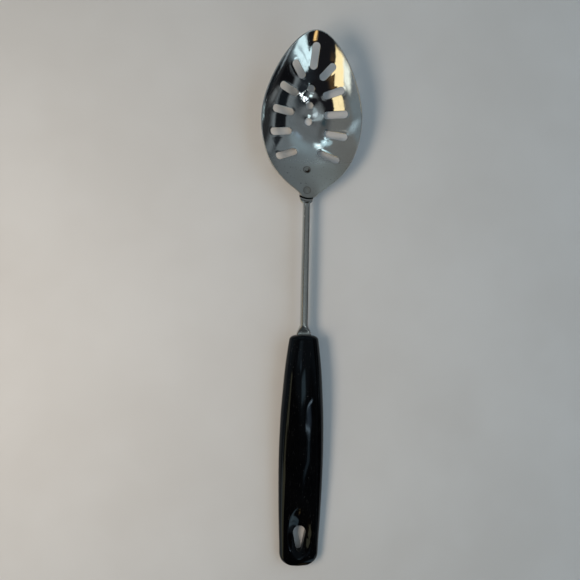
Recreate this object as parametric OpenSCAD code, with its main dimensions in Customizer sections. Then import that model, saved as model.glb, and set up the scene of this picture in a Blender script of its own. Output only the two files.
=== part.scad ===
// Slotted serving spoon. A pressed and pierced steel bowl is spot welded to the flattened
// tongue of a steel shank, and the shank's tang is moulded into a black handle.
// +Y runs from the handle to the bowl's tip, +X to the right and +Z up. The spoon lies on
// z = 0, and the origin is on the axis of the hang hole's wide end.

/* [Bowl] */
// Length of the bowl, from the cut end of its tail to its tip
bowl_l = 88; // [74:1:104]
// Width of the bowl inside its rim
bowl_w = 55.4; // [48:0.2:62]
// Depth of the bowl below its rim
bowl_depth = 12.2; // [9:0.2:15]
// How far the rim sags between the tail and the tip
rim_sag = 2.8; // [1:0.1:4]
// Thickness of the pressed sheet
sheet_t = 1; // [0.7:0.1:1.3]
// Width of the tail at its cut end
tail_w = 8.5; // [8:0.1:10]
// How far the tail's cut end bulges in its middle
tail_bulge = 0.8; // [0:0.1:1.5]
// Depth of the trough where the tail is cut
tail_trough = 0.5; // [0.2:0.1:1]
// Rise of the rim towards the tip as the spoon lies, in degrees
bowl_tilt = 8.6; // [6.6:0.1:10.6]
// Turn of the bowl off the shank's line, in degrees
bowl_skew = 0.75; // [0:0.05:2]
// Sideways set of the tail off the shank's line
bowl_shift = 1; // [0:0.1:1.5]

/* [Piercing] */
// Length of a full slot
slot_l = 14; // [11:0.2:15]
// Width of the slots
slot_w = 4; // [2.5:0.1:4.6]
// Diameter of the round holes along the middle
drain_d = 4; // [2.5:0.1:5]
// Distance between the round holes
drain_pitch = 9; // [7:0.1:10]
// Turn of the pierced pattern in the bowl, in degrees
pattern_turn = 1.4; // [0:0.1:3]

/* [Shank] */
// Visible length of the shank between bowl and handle
stem_l = 77; // [50:1:110]
// Width of the stem at the bowl
stem_front_w = 4.1; // [3.6:0.1:5]
// Width of the stem at the handle
stem_rear_w = 4.7; // [3.8:0.1:5.4]
// Height of the stem
stem_h = 4.1; // [3.4:0.1:4.8]
// Height above the table of the stem's middle, where it enters the handle
stem_rest = 7.1; // [6:0.1:8]
// Width of the flattened tongue under the bowl
tongue_w = 7.2; // [6.4:0.1:7.8]
// Thickness of the flattened tongue
tongue_t = 1.4; // [1:0.1:1.8]
// Length of the tongue under the bowl
tongue_l = 19.5; // [18:0.5:22]
// Length of tongue that shows behind the bowl
shoulder_l = 2.9; // [2:0.1:4]
// Width of the flattened tang in the handle
tang_w = 8.2; // [6.5:0.1:9]
// Thickness of the flattened tang
tang_t = 2; // [1.4:0.1:2.6]
// Length of the tang in the handle
tang_l = 62; // [45:1:80]
// Length over which the stem flares into the tang
flare_l = 5.4; // [4:0.2:8]

/* [Welds] */
// Diameter of the two spot welds
weld_d = 4.4; // [3.6:0.1:5]
// Distance of the rear weld from the tail's end
weld_inset = 3.3; // [3:0.1:4]
// Distance between the two welds
weld_pitch = 11.4; // [9:0.1:12.4]
// Depth of the electrode's dimple in a weld
weld_dimple = 0.35; // [0.1:0.05:0.5]

/* [Handle] */
// Length of the handle
handle_l = 131; // [110:1:150]
// Greatest width of the handle
handle_w = 25.2; // [21:0.2:30]
// Greatest thickness of the handle
handle_t = 12.4; // [11:0.2:15]
// How far the handle's underside rises off the table towards its front
front_lift = 3; // [2:0.1:4]
// Distance of the hang hole's wide end from the handle's end
hang_back = 19.2; // [17:0.2:26]
// Width of the hang hole's wide end
hang_w = 7; // [6:0.2:8.6]
// Width of the hang hole's narrow end
hang_narrow_w = 3.4; // [2.6:0.2:4.6]
// Length of the hang hole
hang_l = 14.6; // [12:0.2:16]
// Length of the dish round the hang hole
dish_l = 29.6; // [26:0.2:32]
// Width of the dish round the hang hole
dish_w = 15; // [12:0.2:16]
// Depth of the dish round the hang hole
dish_depth = 3; // [1.5:0.1:4]

/* [Hidden] */
overrun = 1;
// Clearance between tongue and sheet, and round the welds and the tang
seat_gap = 0.06;
fit_gap = 0.02;

// Outline of the bowl as curves in shares of its length and half width, tail to tip
tail_w_share = tail_w / bowl_w;
outline_shares = [
    [[0, tail_w_share], [0.025, tail_w_share], [0.062, 0.39], [0.112, 0.554]],
    [[0.112, 0.554], [0.19, 0.829], [0.313, 1], [0.481, 1]],
    [[0.481, 1], [0.681, 1], [1, 0.438], [1, 0]]
];
// Depth along the middle as curves in shares of the bowl's length and depth
trough_share = tail_trough / bowl_depth;
depth_shares = [
    [[0, trough_share], [0.20, 0.12], [0.30, 1], [0.50, 1]],
    [[0.50, 1], [0.76, 1], [0.90, 0.42], [1, 0]]
];
// How fast the bowl's section rises to its rim: 2 is a parabola
roundness = 2.2;
// Rows of each outline curve, and steps across the bowl
outline_rows = [8, 12, 20];
across_steps = 22;
// Nearest share to the tip at which the sheet's slope is taken
tip_share = 0.998;
solve_steps = 22;

// Pierced pattern: share of the half width, share of the length, direction, share of slot_l
slot_shares = [
    [0, 0.868, 0, 1.04],
    [0.294, 0.785, 40, 0.81],
    [0.459, 0.663, 69, 0.91],
    [0.547, 0.531, 85, 0.98],
    [0.568, 0.398, 101, 0.99],
    [0.431, 0.258, 115, 0.98]
];
drain_share = 0.477;
drain_count = 3;
pattern_pivot_share = 0.745;
punch_l = 6 * sheet_t;

// Stations of the tongue and of the stem
tongue_rows = 16;
tongue_tip_l = tongue_w * 0.35;
// How much of the tip's arc is used: 1 would end it in a point
tip_arc_share = 0.96;
neck_w = tongue_w * 0.86;
neck_l = shoulder_l * 0.35;
stem_rows = 8;
flare_rows = 5;
// Points round the shank, and how square its flat ends and how round its stem are
shank_sides = 28;
flat_power = 5;
round_power = 2;
notch_r = tang_w * 0.16;
notch_shares = [0.42, 0.68];
// Bevelled end of the tang
tang_bevel = tang_w / 4;
tang_end_share = 0.7;

// Shares of the handle's length, counted from its end, and of its width and thickness
handle_w_shares = [
    [0, 0.86], [0.06, 0.872], [0.11, 0.89], [0.20, 0.935], [0.28, 0.963], [0.37, 0.988],
    [0.47, 1], [0.59, 0.983], [0.67, 0.954], [0.76, 0.893], [0.85, 0.82], [0.93, 0.722], [1, 0.62]
];
handle_t_shares = [
    [0, 0.53], [0.10, 0.55], [0.30, 0.72], [0.46, 0.86], [0.70, 1], [0.85, 0.97], [1, 0.80]
];
top_w_shares = [
    [0, 0.83], [0.20, 0.78], [0.35, 0.72], [0.50, 0.66], [0.65, 0.64], [0.80, 0.63], [1, 0.55]
];
// Share of the handle's length that lies flat on the table
flat_share = 0.5;
// Rounded length at each end, and how square the rounding is
end_round = handle_w * 0.32;
front_round = handle_w * 0.13;
end_power = 2.6;
// Thickness left at the very ends of the rounding
end_t_share = 0.35;
handle_rows = 22;
end_rows = 7;
front_rows = 4;
// Section of the handle: crowned faces with crisp edges, and bulging flanks
crown_share = 0.14;
flank_start = 38;
crown_steps = 4;
flank_steps = 5;

// A point of a cubic curve, and the share at which its first value reaches s
function bez(c, t) = c[0] * pow(1 - t, 3) + c[1] * 3 * t * pow(1 - t, 2)
    + c[2] * 3 * t * t * (1 - t) + c[3] * t * t * t;
function bez_rate(c, t) = (c[1] - c[0]) * 3 * pow(1 - t, 2)
    + (c[2] - c[1]) * 6 * t * (1 - t) + (c[3] - c[2]) * 3 * t * t;
function solve(c, s, lo = 0, hi = 1, n = solve_steps) =
    n == 0 ? (lo + hi) / 2
    : bez(c, (lo + hi) / 2)[0] < s ? solve(c, s, (lo + hi) / 2, hi, n - 1)
    : solve(c, s, lo, (lo + hi) / 2, n - 1);
function curve_for(chain, s, k = 0) =
    k == len(chain) - 1 || s <= chain[k][3][0] ? chain[k] : curve_for(chain, s, k + 1);
// Value and slope of a chain of curves at share s
function value_at(chain, s) = let (c = curve_for(chain, s)) bez(c, solve(c, s))[1];
function slope_at(chain, s) =
    let (c = curve_for(chain, s), r = bez_rate(c, solve(c, s))) r[1] / r[0];

// The bowl's inner face: x across and y along from the tail's end, below the straight line
// from the tail to the tip.
// Behind the tail's end the face runs straight on.
function within(y) = min(max(y / bowl_l, 0), tip_share);
function half_w(y) = value_at(outline_shares, within(y)) * bowl_w / 2;
function half_w_rate(y) = slope_at(outline_shares, within(y)) * bowl_w / 2 / bowl_l;
function depth_rate(y) = slope_at(depth_shares, within(y)) * bowl_depth / bowl_l;
function depth(y) = value_at(depth_shares, within(y)) * bowl_depth + min(y, 0) * depth_rate(0);
function sag(y) = 4 * rim_sag * (1 - max(y, 0) / bowl_l) * y / bowl_l;
function sag_rate(y) = 4 * rim_sag * (1 - 2 * max(y, 0) / bowl_l) / bowl_l;
function reach(x, y) = min(abs(x) / half_w(y), 1);
function face_z(x, y) = -sag(y) - depth(y) * (1 - pow(reach(x, y), roundness));
function face_normal(x, y) =
    let (w = half_w(y), d = depth(y), s = reach(x, y),
         across = sign(x) * d * roundness * pow(s, roundness - 1) / w,
         along = -sag_rate(y) - depth_rate(y) * (1 - pow(s, roundness))
             - (y < 0 ? 0 : d * roundness * pow(s, roundness) * half_w_rate(y) / w),
         n = [-across, -along, 1])
    n / norm(n);
// A point of the sheet, off millimetres above its inner face
function sheet_point(x, y, off) = [x, y, face_z(x, y)] + face_normal(x, y) * off;

// Turns of a point about X and about Z
function tip_up(p, a) = [p.x, p.y * cos(a) - p.z * sin(a), p.y * sin(a) + p.z * cos(a)];
function turned(p, a) = [p.x * cos(a) + p.y * sin(a), p.y * cos(a) - p.x * sin(a), p.z];

// The bowl lies on the table with its lowest point, which sets the height of its tail
tail_y = handle_l + stem_l - hang_back;
tail_z = -min([for (k = [0:40]) let (y = bowl_l * k / 40)
    y * sin(bowl_tilt) - (sag(y) + depth(y) + sheet_t) * cos(bowl_tilt)]);
function place(p) =
    turned(tip_up(p, bowl_tilt), bowl_skew) + [bowl_shift, tail_y, tail_z];
// The inverse of the turn and set, for a point given by its place on the shank's line
function off_line(x, y) = turned([x - bowl_shift, y, 0], -bowl_skew);

// The stem's line runs from the tongue's shoulder to the handle's front and on into the handle
shoulder_point = place(sheet_point(-bowl_shift, -shoulder_l, -sheet_t - seat_gap - tongue_t / 2));
line_start = [0, handle_l - hang_back, stem_rest];
line_rise = atan2(shoulder_point.z - stem_rest, shoulder_point.y - line_start.y);
line_l = norm([0, shoulder_point.y - line_start.y, shoulder_point.z - stem_rest]);
// A point on the stem's line a millimetres from the handle's end, x across and z up
function along(x, a, z) = tip_up([x, a - handle_l, z], line_rise) + line_start;

// Points of a section of half width w and half height h
function oval(k, n, power) = let (a = 360 * k / n, c = cos(a), s = sin(a))
    [sign(c) * pow(abs(c), 2 / power), sign(s) * pow(abs(s), 2 / power)];
// Share of a rise from 0 to 1 with level ends
function ease(t) = t * t * (3 - 2 * t);
// Smooth value of a table of shares at share s
function knot(table, s, k = 0) =
    k >= len(table) - 2 || s <= table[k + 1][0] ? k : knot(table, s, k + 1);
function knot_rate(table, k) = let (a = table[max(k - 1, 0)], b = table[min(k + 1, len(table) - 1)])
    (b[1] - a[1]) / (b[0] - a[0]);
function table_at(table, s) =
    let (k = knot(table, s), a = table[k], b = table[k + 1], w = b[0] - a[0], t = (s - a[0]) / w)
    a[1] * (2 * t * t * t - 3 * t * t + 1) + b[1] * (3 * t * t - 2 * t * t * t)
        + knot_rate(table, k) * w * (t * t * t - 2 * t * t + t)
        + knot_rate(table, k + 1) * w * (t * t * t - t * t);

// Triangles between rings of n points each, closed by a fan at either end
function loft_faces(rings, n) = concat(
    [for (i = [0:rings - 2], j = [0:n - 1]) [i * n + j, (i + 1) * n + j, (i + 1) * n + (j + 1) % n]],
    [for (i = [0:rings - 2], j = [0:n - 1]) [i * n + j, (i + 1) * n + (j + 1) % n, i * n + (j + 1) % n]],
    [for (j = [1:n - 2]) [0, j, j + 1]],
    [for (j = [1:n - 2]) [(rings - 1) * n, (rings - 1) * n + j + 1, (rings - 1) * n + j]]);
module loft(rings) {
    n = len(rings[0]);
    polyhedron([for (r = rings) each r], loft_faces(len(rings), n), convexity = 6);
}

// Rows of the bowl, as stations, from the tail to just short of the tip
bowl_rows = [for (k = [0:2], i = [0:outline_rows[k] - 1])
    let (p = bez(outline_shares[k], i / outline_rows[k])) [p[0] * bowl_l, p[1] * bowl_w / 2]];
function bowl_row(row, off) = [for (j = [0:across_steps])
    let (s = 2 * j / across_steps - 1,
         y = row[0] - (row[0] == 0 ? tail_bulge * (1 - s * s) : 0))
    sheet_point(s * row[1], y, off)];
module bowl_blank() {
    n = across_steps + 1;
    m = len(bowl_rows);
    inner_tip = m * n;
    under = m * n + 1;
    under_tip = under + m * n;
    points = concat(
        [for (r = bowl_rows) each bowl_row(r, 0)], [[0, bowl_l, 0]],
        [for (r = bowl_rows) each bowl_row(r, -sheet_t)],
        [[0, bowl_l, 0] - face_normal(0, bowl_l) * sheet_t]);
    half = across_steps / 2;
    faces = concat(
        [for (i = [0:m - 2], j = [0:n - 2]) let (a = i * n + j)
            each (j < half ? [[a, a + n, a + n + 1], [a, a + n + 1, a + 1]]
                : [[a, a + n, a + 1], [a + 1, a + n, a + n + 1]])],
        [for (i = [0:m - 2], j = [0:n - 2]) let (a = under + i * n + j)
            each (j < half ? [[a, a + n + 1, a + n], [a, a + 1, a + n + 1]]
                : [[a, a + 1, a + n], [a + 1, a + n + 1, a + n]])],
        [for (j = [0:n - 2]) [(m - 1) * n + j, inner_tip, (m - 1) * n + j + 1]],
        [for (j = [0:n - 2]) [under + (m - 1) * n + j, under + (m - 1) * n + j + 1, under_tip]],
        [for (j = [0:n - 2]) each [[j, j + 1, under + j + 1], [j, under + j + 1, under + j]]],
        [for (i = [0:m - 2]) let (a = i * n, b = under + i * n)
            each [[a, b, b + n], [a, b + n, a + n]]],
        [for (i = [0:m - 2]) let (a = i * n + n - 1, b = under + i * n + n - 1)
            each [[a, a + n, b + n], [a, b + n, b]]],
        [[(m - 1) * n, under + (m - 1) * n, under_tip], [(m - 1) * n, under_tip, inner_tip],
         [m * n - 1, inner_tip, under_tip], [m * n - 1, under_tip, under + m * n - 1]]);
    polyhedron(points, faces, convexity = 8);
}

// Sets a tool on the bowl's inner face at x, y with its Z square to the sheet
module on_sheet(x, y) {
    n = face_normal(x, y);
    translate([x, y, face_z(x, y)])
        rotate([0, 0, atan2(n.y, n.x)])
        rotate([0, acos(n.z), 0])
        rotate([0, 0, -atan2(n.y, n.x)])
        children();
}
// Sets a tool in the pierced pattern, which is turned about a point of the middle line
function patterned(x, y) =
    turned([x, y - pattern_pivot_share * bowl_l, 0], pattern_turn)
        + [0, pattern_pivot_share * bowl_l, 0];
module slot_punch(l) {
    translate([0, 0, -punch_l / 2]) linear_extrude(punch_l) {
        square([slot_w, l - slot_w], center = true);
        for (s = [-1, 1]) translate([0, s * (l - slot_w) / 2]) circle(d = slot_w, $fn = 32);
    }
}
module slots() {
    for (row = slot_shares, side = row[0] == 0 ? [1] : [-1, 1]) {
        p = patterned(side * row[0] * bowl_w / 2, row[1] * bowl_l);
        on_sheet(p.x, p.y) rotate([0, 0, -side * row[2] - pattern_turn]) slot_punch(slot_l * row[3]);
    }
}
module drain_holes() {
    for (k = [0:drain_count - 1]) {
        p = patterned(0, drain_share * bowl_l + k * drain_pitch);
        on_sheet(p.x, p.y) cylinder(h = punch_l, d = drain_d, center = true, $fn = 48);
    }
}
// Sets a tool in the placed bowl's frame
module placed() {
    translate([bowl_shift, tail_y, tail_z])
        rotate([0, 0, -bowl_skew])
        rotate([bowl_tilt, 0, 0])
        children();
}
// Sets a tool on the weld at y, on the shank's line, square to the sheet
module at_weld(y) {
    p = off_line(0, y);
    placed() on_sheet(p.x, p.y) children();
}
module weld_bores() {
    for (y = [weld_inset, weld_inset + weld_pitch])
        at_weld(y) cylinder(h = punch_l, d = weld_d + 2 * fit_gap, center = true, $fn = 48);
}

module bowl() {
    color("lightslategray") difference() {
        placed() difference() {
            bowl_blank();
            slots();
            drain_holes();
        }
        weld_bores();
    }
}

// One ring of the tongue, y millimetres in front of the tail's end and w wide
function tongue_ring(y, w, t) = [for (k = [0:shank_sides - 1])
    let (q = oval(k, shank_sides, flat_power), p = off_line(q[0] * w / 2, y))
    place(sheet_point(p.x, p.y, q[1] * t / 2 - sheet_t - seat_gap - tongue_t / 2))];
// One ring of the stem or tang, a millimetres along the stem's line
function stem_ring(a, w, h, power) = [for (k = [0:shank_sides - 1])
    let (q = oval(k, shank_sides, power)) along(q[0] * w / 2, a, q[1] * h / 2)];
// Width of the tongue at y: a rounded tip, and a narrower neck behind the bowl
function tongue_w_at(y) = let (tip = (y - tongue_l + tongue_tip_l) / tongue_tip_l)
    y < 0 ? tongue_w + (tongue_w - neck_w) * y / shoulder_l
    : tip > 0 ? tongue_w * sqrt(1 - tip * tip * tip_arc_share) : tongue_w;
stem_a = handle_l + line_l - neck_l;
function stem_w_at(a) = stem_rear_w + (stem_front_w - stem_rear_w) * (a - handle_l) / (stem_a - handle_l);
function flare_ring(t, grow) = let (e = ease(t), w = stem_w_at(handle_l + flare_l))
    stem_ring(handle_l + flare_l * (1 - t), w + (tang_w - w) * e + 2 * grow,
        stem_h + (tang_t - stem_h) * e + 2 * grow, round_power + (flat_power - round_power) * e);
function tang_ring(a, share, grow) =
    stem_ring(a, tang_w * share + 2 * grow, tang_t + 2 * grow, flat_power);
tang_end_a = handle_l - tang_l;
module shank() {
    color("slategray") difference() {
        loft(concat(
            [for (k = [0:tongue_rows]) let (y = tongue_l - (tongue_l + shoulder_l) * k / tongue_rows)
                tongue_ring(y, tongue_w_at(y), tongue_t)],
            [for (k = [0:stem_rows]) let (a = stem_a - (stem_a - handle_l - flare_l) * k / stem_rows)
                stem_ring(a, stem_w_at(a), stem_h, round_power)],
            [for (k = [1:flare_rows]) flare_ring(k / flare_rows, 0)],
            [tang_ring(tang_end_a + tang_bevel, 1, 0), tang_ring(tang_end_a, tang_end_share, 0)]));
        weld_bores();
        tang_notches(notch_r);
    }
}
// Half-round notches in the tang's edges, which key it in the moulding. Each cutter's seam
// is turned to the outside of the tang.
module tang_notches(r) {
    for (share = notch_shares, side = [-1, 1])
        translate(along(side * tang_w / 2, handle_l - share * tang_l, 0))
            rotate([line_rise, 0, 0])
            rotate([0, 0, 90 - 90 * side])
            cylinder(h = 3 * tang_t, r = r, center = true, $fn = 32);
}
// The tang's place in the handle
module tang_space() {
    difference() {
        loft([
            flare_ring(1 - overrun / flare_l, fit_gap), flare_ring(1, fit_gap),
            tang_ring(tang_end_a + tang_bevel, 1, fit_gap),
            tang_ring(tang_end_a - fit_gap, tang_end_share, fit_gap)]);
        tang_notches(notch_r - fit_gap);
    }
}

// A weld: a short slug through sheet and tongue, with a dimple at each end
module weld_slug(y) {
    r = weld_d / 2;
    h = sheet_t + seat_gap + tongue_t;
    steps = 8;
    color("dimgray") at_weld(y) rotate_extrude($fn = 48) polygon(concat(
        [for (k = [0:steps]) let (s = k / steps) [r * s, -weld_dimple * (1 - s * s) - seat_gap]],
        [for (k = [steps:-1:0]) let (s = k / steps) [r * s, weld_dimple * (1 - s * s) - h + seat_gap]]));
}
module front_weld() { weld_slug(weld_inset + weld_pitch); }
module rear_weld() { weld_slug(weld_inset); }

// Rounding of the handle's outline at distance a from its end
function end_share(d, l) = d >= l ? 1 : pow(1 - pow(1 - d / l, end_power), 1 / end_power);
function round_share(a) = end_share(a, end_round) * end_share(handle_l - a, front_round);
function half_handle_w(a) = table_at(handle_w_shares, a / handle_l) * handle_w / 2;
function half_handle_t(a) = table_at(handle_t_shares, a / handle_l) * handle_t / 2;
// Height of the handle's underside, of its middle and of its top at distance a from its end
function lift(a) = front_lift * pow(max(a / handle_l - flat_share, 0) / (1 - flat_share), 2);
function mid_z(a) = lift(a) + half_handle_t(a);
function top_z(a) = mid_z(a) + half_handle_t(a);
// A quarter of the handle's section, from its middle line to its widest point
function quarter(w, t, top) = concat(
    [for (k = [0:crown_steps]) let (s = k / crown_steps) [w * top * s, t * (1 - crown_share * s * s)]],
    [for (k = [1:flank_steps])
        let (a = flank_start + (90 - flank_start) * k / flank_steps,
             x = (sin(a) - sin(flank_start)) / (1 - sin(flank_start)))
        [w * (top + (1 - top) * x), t * (1 - crown_share) * cos(a) / cos(flank_start)]]);
function mirrored(q, sx, sz, back) = let (n = len(q))
    [for (k = [0:n - 2]) let (p = q[back ? n - 1 - k : k]) [p.x * sx, p.y * sz]];
function handle_ring(a) =
    let (r = round_share(a), w = half_handle_w(a) * r,
         t = half_handle_t(a) * (end_t_share + (1 - end_t_share) * r),
         q = quarter(w, t, table_at(top_w_shares, a / handle_l)),
         loop = concat(mirrored(q, 1, 1, true), mirrored(q, -1, 1, false),
             mirrored(q, -1, -1, true), mirrored(q, 1, -1, false)))
    [for (p = loop) [p.x, a - hang_back, mid_z(a) + p.y]];
// Distances from the handle's end at which it has a ring
end_cut = end_round * 0.02;
front_cut = front_round * 0.1;
handle_stations = concat(
    [for (k = [0:end_rows - 1]) end_cut + (end_round - end_cut) * (1 - cos(90 * k / end_rows))],
    [for (k = [0:handle_rows]) end_round + (handle_l - end_round - front_round) * k / handle_rows],
    [for (k = [1:front_rows]) handle_l - front_cut
        - (front_round - front_cut) * (1 - sin(90 * k / front_rows))]);

// The hang hole: a wide and a narrow round end joined by straight sides
module hang_outline() {
    r = hang_w / 2;
    q = hang_narrow_w / 2;
    d = hang_l - r - q;
    lean = asin((r - q) / d);
    circle(r = r, $fn = 64);
    translate([0, -d]) circle(r = q, $fn = 64);
    polygon([
        [r * cos(lean), -r * sin(lean)], [-r * cos(lean), -r * sin(lean)],
        [-q * cos(lean), -d - q * sin(lean)], [q * cos(lean), -d - q * sin(lean)]]);
}
// The dish: a spindle, arched along and round across, that scoops the handle's upper face.
// It leans with the face between the two ends of the dish.
function chord_r(chord, rise) = (chord * chord / 4 + rise * rise) / (2 * rise);
module dish() {
    mid_r = chord_r(dish_w, dish_depth);
    arch_r = chord_r(dish_l, dish_depth);
    rear_z = top_z(hang_back - dish_l / 2);
    front_z = top_z(hang_back + dish_l / 2);
    translate([0, 0, (rear_z + front_z) / 2])
        rotate([atan2(front_z - rear_z, dish_l), 0, 0])
        translate([0, 0, mid_r - dish_depth])
        rotate([-90, 0, 0])
        rotate_extrude($fn = 96)
        intersection() {
            translate([mid_r - arch_r, 0]) circle(r = arch_r, $fn = 180);
            translate([0, -arch_r]) square([mid_r + overrun, 2 * arch_r]);
        }
}
module handle() {
    color("black") difference() {
        loft([for (a = handle_stations) handle_ring(a)]);
        tang_space();
        dish();
        translate([0, 0, -overrun]) linear_extrude(handle_t + 2 * overrun) hang_outline();
    }
}

bowl();
shank();
front_weld();
rear_weld();
handle();
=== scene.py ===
import math

import bpy
import numpy as np
from mathutils import Matrix, Vector
from mathutils.geometry import delaunay_2d_cdt


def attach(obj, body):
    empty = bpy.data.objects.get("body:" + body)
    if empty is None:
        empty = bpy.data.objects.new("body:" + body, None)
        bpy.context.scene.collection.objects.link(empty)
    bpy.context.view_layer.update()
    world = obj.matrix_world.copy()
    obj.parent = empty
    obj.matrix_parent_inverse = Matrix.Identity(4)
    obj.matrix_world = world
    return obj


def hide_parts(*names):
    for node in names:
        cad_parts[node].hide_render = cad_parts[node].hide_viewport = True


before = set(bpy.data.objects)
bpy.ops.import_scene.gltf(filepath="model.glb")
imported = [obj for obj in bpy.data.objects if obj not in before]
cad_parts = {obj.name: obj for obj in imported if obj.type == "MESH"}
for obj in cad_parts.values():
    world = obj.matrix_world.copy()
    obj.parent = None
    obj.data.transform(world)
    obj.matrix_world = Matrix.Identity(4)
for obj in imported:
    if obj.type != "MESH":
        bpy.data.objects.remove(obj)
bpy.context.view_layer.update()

# Sizes below are in millimetres, as in the part's source; meshes are written in metres.
MM = 0.001

BOWL_L, BOWL_W, BOWL_DEPTH, RIM_SAG, SHEET_T = 88.0, 55.4, 12.2, 2.8, 1.0
TAIL_W, TAIL_BULGE, TAIL_TROUGH = 8.5, 0.8, 0.5
BOWL_TILT, BOWL_SKEW = math.radians(8.6), math.radians(0.75)
BOWL_SHIFT, ROUNDNESS, TIP_SHARE = 1.0, 2.2, 0.998
OUTLINE = [
    [(0, TAIL_W / BOWL_W), (0.025, TAIL_W / BOWL_W), (0.062, 0.39), (0.112, 0.554)],
    [(0.112, 0.554), (0.19, 0.829), (0.313, 1), (0.481, 1)],
    [(0.481, 1), (0.681, 1), (1, 0.438), (1, 0)],
]
DEPTHS = [
    [(0, TAIL_TROUGH / BOWL_DEPTH), (0.20, 0.12), (0.30, 1), (0.50, 1)],
    [(0.50, 1), (0.76, 1), (0.90, 0.42), (1, 0)],
]
SLOT_L, SLOT_W, DRAIN_D, DRAIN_PITCH = 14.0, 4.0, 4.0, 9.0
DRAIN_SHARE, DRAIN_COUNT, PIVOT_SHARE = 0.477, 3, 0.745
PATTERN_TURN = math.radians(1.4)
SLOTS = [
    (0, 0.868, 0, 1.04), (0.294, 0.785, 40, 0.81), (0.459, 0.663, 69, 0.91),
    (0.547, 0.531, 85, 0.98), (0.568, 0.398, 101, 0.99), (0.431, 0.258, 115, 0.98),
]
SEAT_GAP, FIT_GAP = 0.06, 0.02
STEM_L, STEM_FRONT_W, STEM_REAR_W, STEM_H, STEM_REST = 77.0, 4.1, 4.7, 4.1, 7.1
TONGUE_W, TONGUE_T, TONGUE_L, SHOULDER_L = 7.2, 1.4, 19.5, 2.9
TANG_W, TANG_T, TANG_L, FLARE_L = 8.2, 2.0, 62.0, 5.4
WELD_D, WELD_INSET, WELD_PITCH, WELD_DIMPLE = 4.4, 3.3, 11.4, 0.35
HANDLE_L, HANDLE_W, HANDLE_T, FRONT_LIFT, HANG_BACK = 131.0, 25.2, 12.4, 3.0, 19.2
HANG_W, HANG_NARROW_W, HANG_L = 7.0, 3.4, 14.6
DISH_L, DISH_W, DISH_DEPTH = 29.6, 15.0, 3.0
HANDLE_WIDTHS = [
    (0, 0.86), (0.06, 0.872), (0.11, 0.89), (0.20, 0.935), (0.28, 0.963), (0.37, 0.988),
    (0.47, 1), (0.59, 0.983), (0.67, 0.954), (0.76, 0.893), (0.85, 0.82), (0.93, 0.722),
    (1, 0.62),
]
HANDLE_HEIGHTS = [
    (0, 0.53), (0.10, 0.55), (0.30, 0.72), (0.46, 0.86), (0.70, 1), (0.85, 0.97), (1, 0.80),
]
TOP_WIDTHS = [
    (0, 0.83), (0.20, 0.78), (0.35, 0.72), (0.50, 0.66), (0.65, 0.64), (0.80, 0.63), (1, 0.55),
]
FLAT_SHARE = 0.5
END_ROUND, FRONT_ROUND, END_POWER, END_T_SHARE = HANDLE_W * 0.32, HANDLE_W * 0.13, 2.6, 0.35
CROWN_SHARE, FLANK_START = 0.14, math.radians(38)

# How the visible surfaces are meshed and softened
GRID_STEP, LOOP_CLEAR, RIM_STEP, EDGE_ROWS, BATCH = 0.8, 0.45, 0.5, (0.55, 1.2), 200
TAIL_STEPS, TAIL_MARGIN, CORNER_REACH, CORNER_TURNS = 41, 1.0, 1.5, 2
SLOPE_STEP, SKIN_STEP, DROP_STEPS = 0.05, 0.12, 8
RIM_ROUND, SLOT_ROUND, WELD_ROUND, HANG_ROUND, DISH_SOFT = 0.3, 0.2, 0.1, 0.35, 0.45
ROLL_OVER, ROLL_REACH = 0.09, 0.7
DENT, DENT_REACH = 0.22, 2.2
SINK_X, SINK_Y, SINK_W, SINK_L, SINK_DEPTH = 4.8, 68.0, 3.2, 7.0, 0.05
STEM_POWER, FLAT_POWER = 2.6, 5
ROD_SIDES, TONGUE_ROWS, STEM_ROWS, FLARE_ROWS, TONGUE_EASE = 56, 56, 30, 12, 0.8
SHARP_ROD, SHARP_WELD, SHARP_CUTTER = math.radians(48), math.radians(50), 1.0
WELD_SIDES, BORE_REACH = 48, (2, -5)
WELD_ROWS = (0.08, 0.2, 0.35, 0.5, 0.62, 0.72, 0.8, 0.88, 0.95, 1.0)
DIMPLE_SHARE, DIMPLE_POWER, WELD_EDGE_DROP = 0.86, 1.4, 0.05
SKIN_ROW, DISH_ROW, DISH_MARGIN = 0.75, 0.55, 2
CREASE_ROWS, CREASE_GAPS, SEAM_GAP = (-0.5, -0.25, 0, 0.25, 0.5), (0.8, 1.2), 0.3
CAP_ROWS, END_ROWS, BODY_ROWS, FRONT_ROWS = 4, 22, 62, 14
HANG_TURNS, HANG_SIDE, RING_TURNS, HANG_STEPS = 26, 12, 18, 4
HANG_ROWS, HANG_CLEAR, HANDLE_CLEAR = (0.5, 1.1), 0.4, 0.2


# Shared arithmetic

def bezier_table(chain, steps=2000):
    """Share, value and slope along a chain of curves, finely sampled."""
    t = np.linspace(0, 1, steps + 1)[:, None]
    rows = []
    for curve in chain:
        c = np.array(curve, float)
        point = (c[0] * (1 - t) ** 3 + c[1] * 3 * t * (1 - t) ** 2
                 + c[2] * 3 * t * t * (1 - t) + c[3] * t ** 3)
        rate = ((c[1] - c[0]) * 3 * (1 - t) ** 2 + (c[2] - c[1]) * 6 * t * (1 - t)
                + (c[3] - c[2]) * 3 * t * t)
        rows.append(np.column_stack([point, rate[:, 1] / np.maximum(rate[:, 0], 1e-9)]))
    return np.concatenate(rows)


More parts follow.
